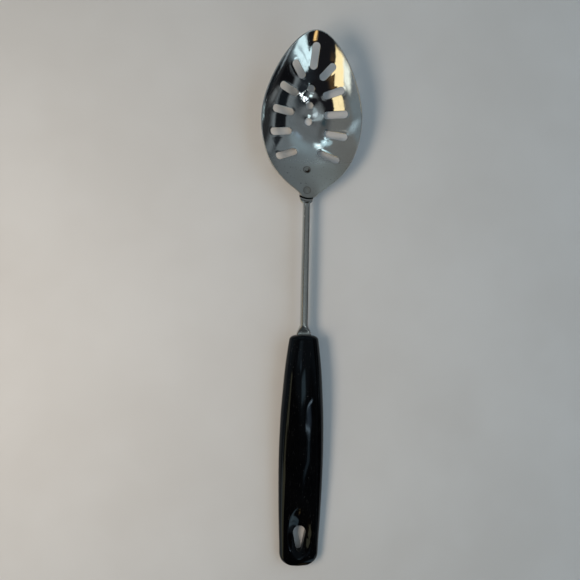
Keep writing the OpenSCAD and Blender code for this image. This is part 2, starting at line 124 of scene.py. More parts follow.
def smooth_table(table, s):
    """Value of a table of shares at s, with the same easy curve as in the part's source."""
    t = np.array(table, float)
    n = len(t)
    low, high = np.maximum(np.arange(n) - 1, 0), np.minimum(np.arange(n) + 1, n - 1)
    rate = (t[high, 1] - t[low, 1]) / (t[high, 0] - t[low, 0])
    s = np.asarray(s, float)
    k = np.clip(np.searchsorted(t[:, 0], s) - 1, 0, n - 2)
    w = t[k + 1, 0] - t[k, 0]
    u = (s - t[k, 0]) / w
    return (t[k, 1] * (2 * u ** 3 - 3 * u ** 2 + 1) + t[k + 1, 1] * (3 * u ** 2 - 2 * u ** 3)
            + rate[k] * w * (u ** 3 - 2 * u ** 2 + u) + rate[k + 1] * w * (u ** 3 - u ** 2))


def unit(v):
    return v / np.maximum(np.linalg.norm(v, axis=-1, keepdims=True), 1e-12)


def turn_z(a):
    return np.array([[math.cos(a), -math.sin(a), 0], [math.sin(a), math.cos(a), 0], [0, 0, 1]])


def turn_x(a):
    return np.array([[1, 0, 0], [0, math.cos(a), -math.sin(a)], [0, math.sin(a), math.cos(a)]])


def turn_y(a):
    return np.array([[math.cos(a), 0, math.sin(a)], [0, 1, 0], [-math.sin(a), 0, math.cos(a)]])


# The bowl's face, in its own frame

OUTLINE_TABLE, DEPTH_TABLE = bezier_table(OUTLINE), bezier_table(DEPTHS)


def read(table, column, y):
    """A column of a table at the distance y from the tail's end."""
    return np.interp(np.clip(y / BOWL_L, 0, TIP_SHARE), table[:, 0], table[:, column])


def half_width(y):
    return read(OUTLINE_TABLE, 1, y) * BOWL_W / 2


def half_width_rate(y):
    return read(OUTLINE_TABLE, 2, y) * BOWL_W / 2 / BOWL_L


def depth_rate(y):
    return read(DEPTH_TABLE, 2, y) * BOWL_DEPTH / BOWL_L


def depth(y):
    return read(DEPTH_TABLE, 1, y) * BOWL_DEPTH + np.minimum(y, 0) * depth_rate(0.0)


def sag(y):
    return 4 * RIM_SAG * (1 - np.maximum(y, 0) / BOWL_L) * y / BOWL_L


def plain_face(x, y):
    reach = np.minimum(np.abs(x) / half_width(y), 1)
    return -sag(y) - depth(y) * (1 - reach ** ROUNDNESS)


def plain_slopes(x, y):
    w, d = half_width(y), depth(y)
    s = np.minimum(np.abs(x) / w, 1)
    across = np.sign(x) * d * ROUNDNESS * s ** (ROUNDNESS - 1) / w
    along = (-4 * RIM_SAG * (1 - 2 * np.maximum(y, 0) / BOWL_L) / BOWL_L
             - depth_rate(y) * (1 - s ** ROUNDNESS)
             - np.where(y < 0, 0, d * ROUNDNESS * s ** ROUNDNESS * half_width_rate(y) / w))
    return across, along


def square_to(across, along):
    """Direction square to a face with these slopes."""
    return unit(np.stack([-across, -along, np.ones_like(across)], -1))


def frame_at(x, y, spin=0.0):
    """Origin and axes of a tool set square on the plain face at x, y."""
    n = square_to(*plain_slopes(x, y))
    lean = math.atan2(n[1], n[0])
    axes = turn_z(lean) @ turn_y(math.acos(n[2])) @ turn_z(spin - lean)
    return np.array([x, y, plain_face(x, y)]), axes


def patterned(x, y):
    """A point of the pierced pattern after the pattern's small turn."""
    y = y - PIVOT_SHARE * BOWL_L
    c, s = math.cos(PATTERN_TURN), math.sin(PATTERN_TURN)
    return x * c + y * s, y * c - x * s + PIVOT_SHARE * BOWL_L


def slot_tools():
    """Frame, half length of the straight part and radius of each slot and hole."""
    tools = []
    for across, along, direction, share in SLOTS:
        for side in ([1] if across == 0 else [-1, 1]):
            x, y = patterned(side * across * BOWL_W / 2, along * BOWL_L)
            spin = math.radians(-side * direction) - PATTERN_TURN
            tools.append((frame_at(x, y, spin), (SLOT_L * share - SLOT_W) / 2, SLOT_W / 2))
    for k in range(DRAIN_COUNT):
        x, y = patterned(0, DRAIN_SHARE * BOWL_L + k * DRAIN_PITCH)
        tools.append((frame_at(x, y), 0.0, DRAIN_D / 2))
    return tools


def weld_frame(y):
    """The bowl's frame is turned off the shank's line, so a weld sits a little to one side."""
    c, s = math.cos(BOWL_SKEW), math.sin(BOWL_SKEW)
    return frame_at(-BOWL_SHIFT * c - y * s, y * c - BOWL_SHIFT * s)


TOOLS = slot_tools()
WELDS = {"rear_weld": weld_frame(WELD_INSET), "front_weld": weld_frame(WELD_INSET + WELD_PITCH)}


def pressed(x, y):
    """How far the sheet is pulled down round its openings by the piercing."""
    p = np.stack([x, y, plain_face(x, y)], -1)
    drop = np.zeros(np.shape(x))
    for (origin, axes), half, radius in TOOLS:
        local = (p - origin) @ axes
        v = np.maximum(np.abs(local[..., 1]) - half, 0)
        gap = np.maximum(np.hypot(local[..., 0], v) - radius, 0)
        drop += ROLL_OVER * np.exp(-(gap / ROLL_REACH) ** 2)
        if half == 0:
            drop += DENT * np.exp(-(gap / DENT_REACH) ** 2)
    return -drop


def face(x, y):
    """Points of the visible inner face and the directions square to it."""
    e = SLOPE_STEP
    across, along = plain_slopes(x, y)
    across = across + (pressed(x + e, y) - pressed(x - e, y)) / (2 * e)
    along = along + (pressed(x, y + e) - pressed(x, y - e)) / (2 * e)
    p = np.stack([x, y, plain_face(x, y) + pressed(x, y)], -1)
    return p, square_to(across, along)


def outer_face(x, y):
    """Points of the sheet's outer face, which the piercing leaves plain."""
    n = square_to(*plain_slopes(x, y))
    return np.stack([x, y, plain_face(x, y)], -1) - n * SHEET_T, -n


def drop_on_face(tool, u, v):
    """Plan places of tool points u, v carried along the tool's axis onto the face."""
    origin, axes = tool
    x = origin[0] + u * axes[0, 0] + v * axes[0, 1]
    y = origin[1] + u * axes[1, 0] + v * axes[1, 1]
    for _ in range(DROP_STEPS):
        p = np.stack([x, y, plain_face(x, y)], -1) - origin
        zx, zy = plain_slopes(x, y)
        ru, rv = u - p @ axes[:, 0], v - p @ axes[:, 1]
        a, b = axes[0, 0] + axes[2, 0] * zx, axes[1, 0] + axes[2, 0] * zy
        c, d = axes[0, 1] + axes[2, 1] * zx, axes[1, 1] + axes[2, 1] * zy
        det = a * d - b * c
        x, y = x + (ru * d - rv * b) / det, y + (rv * a - ru * c) / det
    return x, y


TAIL_Y = HANDLE_L + STEM_L - HANG_BACK
SAMPLES = np.linspace(0, BOWL_L, TAIL_STEPS)
TAIL_Z = -np.min(SAMPLES * math.sin(BOWL_TILT)
                 - (sag(SAMPLES) + depth(SAMPLES) + SHEET_T) * math.cos(BOWL_TILT))
BOWL_TURN = turn_z(-BOWL_SKEW) @ turn_x(BOWL_TILT)
BOWL_PLACE = np.array([BOWL_SHIFT, TAIL_Y, TAIL_Z])


def place(p):
    """Points of the bowl's frame in the part's frame."""
    return p @ BOWL_TURN.T + BOWL_PLACE


# Mesh helpers

def inside(loop, p):
    """True for the points p of the plane that lie inside a closed loop."""
    a, b = loop, np.roll(loop, -1, axis=0)
    result = np.zeros(len(p), bool)
    for (x0, y0), (x1, y1) in zip(a, b):
        if y0 != y1:
            crosses = (y0 > p[:, 1]) != (y1 > p[:, 1])
            result ^= crosses & (p[:, 0] < (x1 - x0) * (p[:, 1] - y0) / (y1 - y0) + x0)
    return result


def clear_of(points, others, gap):
    """The points that keep at least gap from the others."""
    keep = np.ones(len(points), bool)
    for start in range(0, len(others), BATCH):
        part = others[start:start + BATCH]
        near = np.hypot(points[:, None, 0] - part[:, 0], points[:, None, 1] - part[:, 1])
        keep &= near.min(axis=1) > gap
    return points[keep]


def plan_mesh(outer, holes, free, clear=LOOP_CLEAR):
    """Triangles of the plane between an outer loop and holes. The loops' points come first."""
    loops = [outer] + holes
    free = free[inside(outer, free)]
    for hole in holes:
        free = free[~inside(hole, free)]
    free = clear_of(free, np.concatenate(loops), clear)
    points = np.concatenate(loops + [free])
    edges, start, spans = [], 0, []
    for loop in loops:
        n = len(loop)
        edges += [(start + k, start + (k + 1) % n) for k in range(n)]
        spans.append(np.arange(start, start + n))
        start += n
    out = delaunay_2d_cdt([Vector(p) for p in points.tolist()], edges, [], 0, 1e-7)
    back = {new: min(old) for new, old in enumerate(out[3]) if old}
    faces = np.array([[back[k] for k in f] for f in out[2] if all(k in back for k in f)])
    middle = points[faces].mean(axis=1)
    keep = inside(outer, middle)
    for hole in holes:
        keep &= ~inside(hole, middle)
    return points, faces[keep], spans


def grid_points(low, high, step):
    """Staggered points over a rectangle."""
    rise = step * math.sqrt(3) / 2
    rows = []
    for k, y in enumerate(np.arange(low[1], high[1], rise)):
        x = np.arange(low[0] + (k % 2) * step / 2, high[0], step)
        rows.append(np.column_stack([x, np.full_like(x, y)]))
    return np.concatenate(rows)


def show(thing):
    """Puts a new object into the scene."""
    bpy.context.scene.collection.objects.link(thing)
    return thing


class Skin:
    """Collects points with their directions and faces, and makes one object of them."""

    def __init__(self):
        self.points, self.normals, self.faces, self.count = [], [], [], 0

    def add(self, points, normals):
        """Adds points and returns their numbers."""
        points = np.reshape(points, (-1, 3))
        self.points.append(points)
        self.normals.append(np.reshape(normals, (-1, 3)))
        self.count += len(points)
        return np.arange(self.count - len(points), self.count)

    def strip(self, a, b):
        """Faces between two closed rows of numbers."""
        n = len(a)
        self.faces += [(a[k], a[(k + 1) % n], b[(k + 1) % n], b[k]) for k in range(n)]

    def close(self, edge, centre, normal):
        """Faces from a closed row of numbers to one new middle point."""
        middle, n = self.add(centre, normal)[0], len(edge)
        self.faces += [(middle, edge[k], edge[(k + 1) % n]) for k in range(n)]

    def build(self, name, smooth_by=None):
        """Joins equal points, turns every face to its points' directions and makes the object."""
        points = np.concatenate(self.points)
        normals = unit(np.concatenate(self.normals))
        _, first, same = np.unique(np.round(points, 5), axis=0, return_index=True,
                                   return_inverse=True)
        same = same.reshape(-1)
        points, normals = points[first], normals[first]
        faces = []
        for f in self.faces:
            ring = list(dict.fromkeys(same[list(f)].tolist()))
            if len(ring) > 2:
                p = points[ring]
                up = np.cross(p[2] - p[0], p[-1] - p[1])
                faces.append(ring if up @ normals[ring].sum(axis=0) > 0 else ring[::-1])
        mesh = bpy.data.meshes.new(name)
        mesh.from_pydata((points * MM).tolist(), [], faces)
        mesh.validate()
        mesh.polygons.foreach_set("use_smooth", [True] * len(mesh.polygons))
        if smooth_by is None:
            mesh.normals_split_custom_set_from_vertices(normals.tolist())
        else:
            mesh.set_sharp_from_angle(angle=smooth_by)
        return show(bpy.data.objects.new(name, mesh))


def edge_rings(skin, top, under, base, normal, inward, radius, thickness, steps=3):
    """Rounds the edge of the sheet between its two faces' loops of numbers.

    base is the sharp edge's place on the inner face, normal points out of that face and
    inward into the metal. All are given in the bowl's frame.
    """
    quarter = math.pi / 2
    turns = ((0, 0, range(1, steps + 1)), (thickness - 2 * radius, quarter, range(steps)))
    rows = [top]
    for low, start, counts in turns:
        centre = base + (inward - normal) * radius - normal * low
        for k in counts:
            a = quarter * k / steps + start
            out = normal * math.cos(a) - inward * math.sin(a)
            rows.append(skin.add(place(centre + out * radius), out @ BOWL_TURN.T))
    rows.append(under)
    for a, b in zip(rows, rows[1:]):
        skin.strip(a, b)


def rounded_bar(half, radius, grow, side=10, arc=14):
    """Outline of a slot and the outward directions along it, grown by grow."""
    points, outs, reach = [], [], radius + grow
    for end in (1, -1):
        for k in range(arc + 1):
            a = math.pi * k / arc - (0 if end == 1 else math.pi)
            outs.append((math.cos(a), math.sin(a)))
            points.append((math.cos(a) * reach, math.sin(a) * reach + end * half))
        if half > 0:
            for k in range(1, side):
                outs.append((-end, 0))
                points.append((-reach * end, end * half * (1 - 2 * k / side)))
    points, outs = np.array(points), np.array(outs, float)
    if half == 0:
        keep = np.linalg.norm(points - np.roll(points, 1, axis=0), axis=1) > 1e-6
        points, outs = points[keep], outs[keep]
    return points, outs


# The bowl

def outline_loop():
    """Plan of the bowl's rim, evenly spaced, with its two tail corners just broken."""
    side = OUTLINE_TABLE[:, :2] * (BOWL_L, BOWL_W / 2)
    s = np.linspace(-1, 1, TAIL_STEPS)
    end = np.column_stack([s * TAIL_W / 2, -TAIL_BULGE * (1 - s * s)])
    loop = np.concatenate([end, side[1:, ::-1], (side[1:-1, ::-1] * (-1, 1))[::-1]])
    gone = np.r_[0, np.cumsum(np.linalg.norm(np.diff(loop, axis=0, append=loop[:1]), axis=1))]
    at = np.linspace(0, gone[-1], int(gone[-1] / RIM_STEP), endpoint=False)
    loop = np.column_stack([np.interp(at, gone, np.r_[loop[:, k], loop[0, k]]) for k in (0, 1)])
    for _ in range(CORNER_TURNS):
        near_tail = (loop[:, 1] < CORNER_REACH)[:, None]
        eased = (np.roll(loop, 1, axis=0) + 2 * loop + np.roll(loop, -1, axis=0)) / 4
        loop = np.where(near_tail, eased, loop)
    return loop


def bowl_sheet():
    """The pressed sheet: both faces, rounded rim, and slots and holes cut square to it."""
    rim = outline_loop()
    base, normal = face(*rim.T)
    along = unit(np.roll(base, -1, axis=0) - np.roll(base, 1, axis=0))
    inward = unit(np.cross(normal, along))
    cuts = [(rim, base, normal, inward, RIM_ROUND)]
    outer = (base + inward * RIM_ROUND)[:, :2]
    holes, rings = [], [(base + inward * (RIM_ROUND + more))[:, :2] for more in EDGE_ROWS]
    round_cuts = [(tool, half, radius, SLOT_ROUND) for tool, half, radius in TOOLS]
    round_cuts += [(tool, 0.0, WELD_D / 2 + FIT_GAP, WELD_ROUND) for tool in WELDS.values()]
    for tool, half, radius, soft in round_cuts:
        uv, outs = rounded_bar(half, radius, 0)
        x, y = drop_on_face(tool, *uv.T)
        base, normal = face(x, y)
        out = unit(outs @ tool[1][:, :2].T)
        out = unit(out - normal * np.sum(out * normal, axis=1, keepdims=True))
        cuts.append((np.column_stack([x, y]), base, normal, out, soft))
        holes.append(np.column_stack(drop_on_face(tool, *rounded_bar(half, radius, soft)[0].T)))
        for more in EDGE_ROWS:
            ring = rounded_bar(half, radius, soft + more, side=9, arc=12)[0]
            rings.append(np.column_stack(drop_on_face(tool, *ring.T)))
    rings = np.concatenate(rings)
    grid = grid_points((-BOWL_W / 2, -TAIL_MARGIN), (BOWL_W / 2, BOWL_L), GRID_STEP)
    free = np.concatenate([rings, clear_of(grid, rings, LOOP_CLEAR)])
    plan, faces, spans = plan_mesh(outer, holes, free)
    points, normals = face(*plan.T)
    back, back_normals = outer_face(*plan.T)
    skin = Skin()
    top = skin.add(place(points), normals @ BOWL_TURN.T)
    under = skin.add(place(back), back_normals @ BOWL_TURN.T)
    skin.faces += [tuple(top[f]) for f in faces] + [tuple(under[f]) for f in faces]
    for span, (at, base, normal, inward, soft) in zip(spans, cuts):
        thick = SHEET_T + pressed(*at.T)[:, None]
        edge_rings(skin, top[span], under[span], base, normal, inward, soft, thick)
    return skin.build("bowl_sheet")


# Shank and welds

def oval(count, power):
    """Points round a circle (power 2) or a squarer form (more), half width and height 1."""
    a = 2 * math.pi * np.arange(count) / count
    c, s = np.cos(a), np.sin(a)
    return np.sign(c) * np.abs(c) ** (2 / power), np.sign(s) * np.abs(s) ** (2 / power)


def off_line(x, y):
    """A place on the shank's line, given in the bowl's own frame."""
    c, s = math.cos(BOWL_SKEW), math.sin(BOWL_SKEW)
    x = x - BOWL_SHIFT
    return x * c - y * s, y * c + x * s


def sheet_point(x, y, off):
    """Points off the plain face along the direction square to it."""
    n = square_to(*plain_slopes(x, y))
    return np.stack([x, y, plain_face(x, y)], -1) + n * np.reshape(off, (-1, 1))


UNDER = -SHEET_T - SEAT_GAP - TONGUE_T / 2
SHOULDER = place(sheet_point(np.array([-BOWL_SHIFT]), np.array([-SHOULDER_L]), [UNDER]))[0]
LINE_START = np.array([0, HANDLE_L - HANG_BACK, STEM_REST])
LINE_RISE = math.atan2(SHOULDER[2] - STEM_REST, SHOULDER[1] - LINE_START[1])
LINE_L = math.hypot(SHOULDER[2] - STEM_REST, SHOULDER[1] - LINE_START[1])
NECK_W, NECK_L = TONGUE_W * 0.86, SHOULDER_L * 0.35
TONGUE_TIP_L, TONGUE_TIP_ROUND = TONGUE_W * 0.35, 0.96
TANG_TIP_W, TANG_TIP_L = TANG_W * 0.7, TANG_W / 4
STEM_A = HANDLE_L + LINE_L - NECK_L


def stem_ring(a, w, h, power):
    """Section of the rod at the distance a from the handle's end."""
    u, v = oval(ROD_SIDES, power)
    p = np.stack([u * w / 2, np.full(ROD_SIDES, a - HANDLE_L), v * h / 2], -1)
    return p @ turn_x(LINE_RISE).T + LINE_START


def tongue_ring(y, w, t):
    """Section of the tongue, bent to the underside of the bowl."""
    u, v = oval(ROD_SIDES, FLAT_POWER)
    x, along = off_line(u * w / 2, y)
    return place(sheet_point(x, along + 0 * x, v * t / 2 + UNDER))


def tongue_width(y):
    tip = (y - TONGUE_L + TONGUE_TIP_L) / TONGUE_TIP_L
    if y < 0:
        return TONGUE_W + (TONGUE_W - NECK_W) * y / SHOULDER_L
    return TONGUE_W * math.sqrt(1 - tip * tip * TONGUE_TIP_ROUND) if tip > 0 else TONGUE_W


def stem_width(a):
    return STEM_REAR_W + (STEM_FRONT_W - STEM_REAR_W) * (a - HANDLE_L) / (STEM_A - HANDLE_L)


def loft(skin, rings):
    """Closed skin over rings of points, ends filled."""
    numbers = [skin.add(r, r - r.mean(axis=0)) for r in rings]
    for a, b in zip(numbers, numbers[1:]):
        skin.strip(a, b)
    for end, beside in ((0, 1), (-1, -2)):
        centre = rings[end].mean(axis=0)
        skin.close(numbers[end], centre, centre - rings[beside].mean(axis=0))


def shank():
    """Tongue, rounded stem, flare and tang as one worked rod, with the two weld bores."""
    rings = []
    for k in range(TONGUE_ROWS + 1):
        gone = (1 - math.cos(math.pi * (k / TONGUE_ROWS) / 2)) ** TONGUE_EASE
        y = TONGUE_L - (TONGUE_L + SHOULDER_L) * gone
        rings.append(tongue_ring(y, tongue_width(y), TONGUE_T))
    front = HANDLE_L + FLARE_L
    for k in range(STEM_ROWS + 1):
        a = STEM_A - (STEM_A - front) * k / STEM_ROWS
        rings.append(stem_ring(a, stem_width(a), STEM_H, STEM_POWER))
    w = stem_width(front)
    for k in range(1, FLARE_ROWS + 1):
        t = k / FLARE_ROWS
        e = t * t * (3 - 2 * t)
        rings.append(stem_ring(HANDLE_L + FLARE_L * (1 - t), w + (TANG_W - w) * e,
                               STEM_H + (TANG_T - STEM_H) * e,
                               STEM_POWER + (FLAT_POWER - STEM_POWER) * e))
    tang_end = HANDLE_L - TANG_L
    rings.append(stem_ring(tang_end + TANG_TIP_L, TANG_W, TANG_T, FLAT_POWER))
    rings.append(stem_ring(tang_end, TANG_TIP_W, TANG_T, FLAT_POWER))
    skin = Skin()
    loft(skin, rings)
    rod = skin.build("shank_rod", smooth_by=SHARP_ROD)
    for tool in WELDS.values():
        bore(rod, tool)
    return rod


def bore(rod, tool):
    """Cuts a weld's hole through the tongue."""
    origin, axes = tool
    a = 2 * math.pi * np.arange(WELD_SIDES) / WELD_SIDES
    ring = np.stack([np.cos(a), np.sin(a), 0 * a], -1) * (WELD_D / 2 + FIT_GAP)
    skin = Skin()
    loft(skin, [place((ring + (0, 0, z)) @ axes.T + origin) for z in BORE_REACH])
    cutter = skin.build("cutter", smooth_by=SHARP_CUTTER)
    cut = rod.modifiers.new("bore", "BOOLEAN")
    cut.operation, cut.object, cut.solver = "DIFFERENCE", cutter, "EXACT"
    graph = bpy.context.evaluated_depsgraph_get()
    done = bpy.data.meshes.new_from_object(rod.evaluated_get(graph))
    rod.modifiers.clear()
    rod.data = done
    rod.data.name = rod.name
    bpy.data.objects.remove(cutter)


def dimple(s):
    """Depth of the electrode's dimple at the share s of the weld's radius."""
    cup = WELD_DIMPLE * (1 - min(s / DIMPLE_SHARE, 1) ** 2) ** DIMPLE_POWER
    return cup + (WELD_EDGE_DROP if s == 1.0 else 0.0)


def weld_spot(name, tool):
    """A weld's slug: it follows the sheet, with the electrode's dimple at either end."""
    skin = Skin()
    a = 2 * math.pi * np.arange(WELD_SIDES) / WELD_SIDES
    bottom = SHEET_T + SEAT_GAP + TONGUE_T
    rows = []
    for low in (False, True):
        for s in WELD_ROWS[::-1] if low else WELD_ROWS:
            reach = WELD_D / 2 * s
            p, n = face(*drop_on_face(tool, reach * np.cos(a), reach * np.sin(a)))
            off = -bottom + dimple(s) if low else -dimple(s)
            rows.append(skin.add(place(p + n * off), (-n if low else n) @ BOWL_TURN.T))
    for row, beside in zip(rows, rows[1:]):
        skin.strip(row, beside)
    # Both ends close to the middle of the upper one
    centre = skin.points[0].mean(axis=0)
    for row, side in ((rows[0], 1), (rows[-1], -1)):
        skin.close(row, centre, (tool[1][:, 2] * side) @ BOWL_TURN.T)
    return skin.build(name, smooth_by=SHARP_WELD)


# The handle

# The handle's skin is laid out flat: it runs ACROSS to either side, and its crowned face ends
# at the share CROWN_END of that. Along it come a flat cap, the end's rounding and the body.
CROWN_END, ACROSS = 0.55, 17.0
END_V, FRONT_V, CAP_V = 11.0, 5.0, 3.5
END_CUT, FRONT_CUT = END_ROUND * 0.02, FRONT_ROUND * 0.1


def cut_angle(cut, length):
    """Angle along the end's rounding at which its flat cap begins."""
    return math.acos((1 - cut / length) ** (END_POWER / 2))


def end_shape(v):
    """Distance from the handle's end and share of its full section, along the skin at v."""
    a0, a1 = cut_angle(END_CUT, END_ROUND), cut_angle(FRONT_CUT, FRONT_ROUND)
    middle, power = HANDLE_L - END_ROUND - FRONT_ROUND, 2 / END_POWER
    marks = np.cumsum([CAP_V, END_V, middle, FRONT_V, CAP_V])
    r0, r1 = math.sin(a0) ** power, math.sin(a1) ** power
    rear = a0 + (math.pi / 2 - a0) * np.clip((v - marks[0]) / END_V, 0, 1)
    front = a1 + (math.pi / 2 - a1) * np.clip((marks[3] - v) / FRONT_V, 0, 1)
    a = np.select(
        [v < marks[1], v < marks[2]],
        [END_ROUND * (1 - np.cos(rear) ** power), END_ROUND + v - marks[1]],
        HANDLE_L - FRONT_ROUND * (1 - np.cos(front) ** power))
    r = np.select(
        [v < marks[0], v < marks[1], v < marks[2], v < marks[3]],
        [r0 * v / CAP_V, np.sin(rear) ** power, 1.0 + 0 * v, np.sin(front) ** power],
        r1 * (marks[4] - v) / CAP_V)
    return a, np.clip(r, 0, 1)


SKIN_L = 2 * CAP_V + END_V + FRONT_V + HANDLE_L - END_ROUND - FRONT_ROUND


def lift(a):
    return FRONT_LIFT * (np.maximum(a / HANDLE_L - FLAT_SHARE, 0) / (1 - FLAT_SHARE)) ** 2


def half_height(a):
    return smooth_table(HANDLE_HEIGHTS, a / HANDLE_L) * HANDLE_T / 2


def skin_widths(a, r):
    """Half width of the handle and the share of it that the crowned face takes."""
    full = smooth_table(HANDLE_WIDTHS, a / HANDLE_L) * HANDLE_W / 2
    return full * r, smooth_table(TOP_WIDTHS, a / HANDLE_L)


def section(q, v):
    """Across, up and half height of the handle's section at q from -1 to 1 and skin place v."""
    a, r = end_shape(v)
    w, top = skin_widths(a, r)
    t = half_height(a) * (END_T_SHARE + (1 - END_T_SHARE) * r)
    s = np.minimum(np.abs(q) / CROWN_END, 1)
    bend = FLANK_START + (math.pi / 2 - FLANK_START) * np.clip(
        (np.abs(q) - CROWN_END) / (1 - CROWN_END), 0, 1)
    spread = (np.sin(bend) - math.sin(FLANK_START)) / (1 - math.sin(FLANK_START))
    crown = np.abs(q) < CROWN_END
    x = w * np.where(crown, top * s, top + (1 - top) * spread) * np.sign(q)
    z = t * np.where(crown, 1 - CROWN_SHARE * s * s,
                     (1 - CROWN_SHARE) * np.cos(bend) / math.cos(FLANK_START))
    return x, a - HANG_BACK, z, lift(a) + half_height(a)


def chord_radius(chord, rise):
    return (chord * chord / 4 + rise * rise) / (2 * rise)


def dish_height(x, y):
    """Height of the dish's surface: a spindle round across and arched along."""
    mid_r, arch_r = chord_radius(DISH_W, DISH_DEPTH), chord_radius(DISH_L, DISH_DEPTH)
    ends = [lift(a) + 2 * half_height(a) for a in
            (HANG_BACK - DISH_L / 2, HANG_BACK + DISH_L / 2)]
    chord = (ends[0] + ends[1]) / 2 + (ends[1] - ends[0]) * y / DISH_L
    radius = mid_r - arch_r + np.sqrt(np.maximum(arch_r ** 2 - y ** 2, 0))
    return chord + mid_r - DISH_DEPTH - np.sqrt(np.maximum(radius ** 2 - x ** 2, 0))


def sink_mark(x, y):
    """Depth of the shallow mark in the handle's upper face, where the moulding drew in."""
    return SINK_DEPTH * np.exp(-((x - SINK_X) / SINK_W) ** 2 - ((y - SINK_Y) / SINK_L) ** 2)


def handle_skin(u, v, low):
    """Points of the handle's upper or lower skin at u across and v along."""
    q = np.clip(u / ACROSS, -1, 1)
    x, y, z, mid = section(q, np.clip(v, 0, SKIN_L))
    if low:
        return np.stack([x, y, mid - z], -1)
    top = mid + z - sink_mark(x, y)
    scoop = dish_height(x, y)
    h = np.clip(0.5 + (scoop - top) / (2 * DISH_SOFT), 0, 1)
    cut = scoop * (1 - h) + top * h - DISH_SOFT * h * (1 - h)
    return np.stack([x, y, np.where(np.abs(y) < DISH_L, cut, top)], -1)


def handle_face(u, v, low):
    """Directions square to the handle's upper or lower skin."""
    e = SKIN_STEP
    v = np.clip(v, 2 * e, SKIN_L - 2 * e)
    du = handle_skin(u + e, v, low) - handle_skin(u - e, v, low)
    dv = handle_skin(u, v + e, low) - handle_skin(u, v - e, low)
    n = unit(np.cross(du, dv))
    return -n if low else n


def hang_loop(grow, count=HANG_TURNS):
    """Plan of the hang hole, wide end at the origin, and its outward directions."""
    r, q = HANG_W / 2, HANG_NARROW_W / 2
    d = HANG_L - r - q
    lean = math.asin((r - q) / d)
    arcs = ((0, r, -lean, math.pi + lean), (-d, q, math.pi + lean, 2 * math.pi - lean))
    rows, outs = [], []
    for (centre, radius, start, end), (far_centre, far_radius, _, _) in zip(arcs, arcs[::-1]):
        for k in range(count + 1):
            a = start + (end - start) * k / count
            outs.append(np.array([math.cos(a), math.sin(a)]))
            rows.append(outs[-1] * (radius + grow) + (0, centre))
        near, out = rows[-1], outs[-1]
        far = out * (far_radius + grow) + (0, far_centre)
        for k in range(1, HANG_SIDE):
            rows.append(near + (far - near) * k / HANG_SIDE)
            outs.append(out)
    return np.array(rows), np.array(outs)


def skin_place(x, y):
    """u and v on the handle's crowned face of the plan places x, y near its hang hole."""
    a = y + HANG_BACK
    v = np.where(a >= END_ROUND, a - END_ROUND + CAP_V + END_V, 0.0)
    rear = np.arccos(np.clip(1 - a / END_ROUND, 0, 1) ** (END_POWER / 2))
    a0 = cut_angle(END_CUT, END_ROUND)
    v = np.where(a < END_ROUND, CAP_V + (rear - a0) / (math.pi / 2 - a0) * END_V, v)
    a, r = end_shape(v)
    w, top = skin_widths(a, r)
    return x / (w * top) * CROWN_END * ACROSS, v


def hang_on_skin(grow, count=HANG_TURNS):
    """The hang hole's outline, grown by grow, laid on the handle's skin."""
    return np.column_stack(skin_place(*hang_loop(grow, count)[0].T))


def skin_rows():
    """Places across and along the handle's skin at which its mesh has rows."""
    crease, body_end = CROWN_END * ACROSS, SKIN_L - CAP_V
    crown = np.arange(0, crease - CREASE_GAPS[0], SKIN_ROW)
    flank = np.arange(crease + CREASE_GAPS[1], ACROSS - SEAM_GAP, SKIN_ROW)
    across = np.r_[crown, crease + np.array(CREASE_ROWS), flank, ACROSS]
    rear = np.r_[np.linspace(0, CAP_V, CAP_ROWS), np.linspace(CAP_V, CAP_V + END_V, END_ROWS)[1:]]
    dish_end = CAP_V + END_V + HANG_BACK + DISH_L / 2 - END_ROUND + DISH_MARGIN
    near = np.arange(rear[-1] + DISH_ROW, dish_end, DISH_ROW)
    far = np.linspace(dish_end, body_end - FRONT_V, BODY_ROWS)
    front = np.r_[np.linspace(far[-1], body_end, FRONT_ROWS)[1:],
                  np.linspace(body_end, SKIN_L, CAP_ROWS)[1:]]
    return np.r_[-across[:0:-1], across], np.r_[rear, near, far, front]


def hang_wall(skin, sides, plan, outs):
    """The hang hole's rounded edges and the wall between them.

    sides holds, for each of the two skins, the numbers, points and directions of its edge.
    """
    out = np.column_stack([outs, 0 * outs[:, :1]])
    rows = [sides[0][0]]
    for (_, p, n), low in zip(sides, (False, True)):
        normal = unit(n)
        lean = unit(out - normal * np.sum(out * normal, axis=1, keepdims=True))
        arcs = []
        for k in range(1, HANG_STEPS + 1):
            a = math.pi / 2 * k / HANG_STEPS
            turned = normal * math.cos(a) - lean * math.sin(a)
            arcs.append((p - normal * HANG_ROUND + turned * HANG_ROUND, turned))
        arcs[-1] = (np.column_stack([plan, arcs[-1][0][:, 2]]), -out)
        arcs = [skin.add(*arc) for arc in arcs]
        rows += arcs[::-1] if low else arcs
    rows.append(sides[1][0])
    for a, b in zip(rows, rows[1:]):
        skin.strip(a, b)


